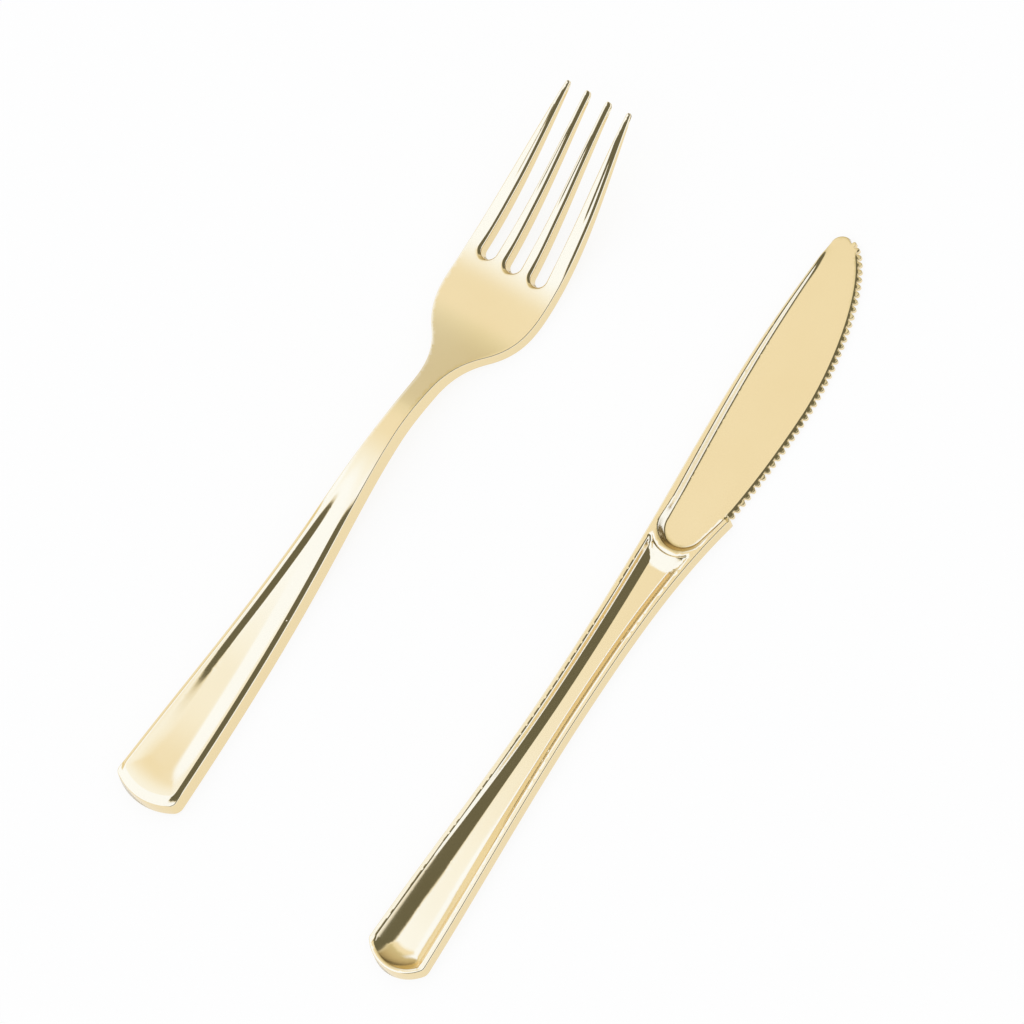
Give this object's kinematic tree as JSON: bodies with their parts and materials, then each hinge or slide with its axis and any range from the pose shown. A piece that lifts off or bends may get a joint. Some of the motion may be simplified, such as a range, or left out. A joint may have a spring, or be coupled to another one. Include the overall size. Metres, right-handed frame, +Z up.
{
  "type": "plastic cutlery set",
  "caption": "Disposable table fork and serrated table knife in gold metallised plastic, lying side by side.",
  "frame": {"origin": "centre of the set's box, on the surface that both pieces lie on", "axes": "+Y along both pieces, from the butts to the tips; +Z up, out of their top faces; +X from the fork to the knife"},
  "size_m": [0.0936, 0.1904, 0.0161],
  "materials": {
    "fork_gold": "mirror-like metallised gold skin on plastic",
    "knife_gold": "mirror-like metallised gold skin on plastic"
  },
  "bodies": {
    "root": {"fork": "fork_gold", "knife": "knife_gold"}
  },
  "joints": []
}
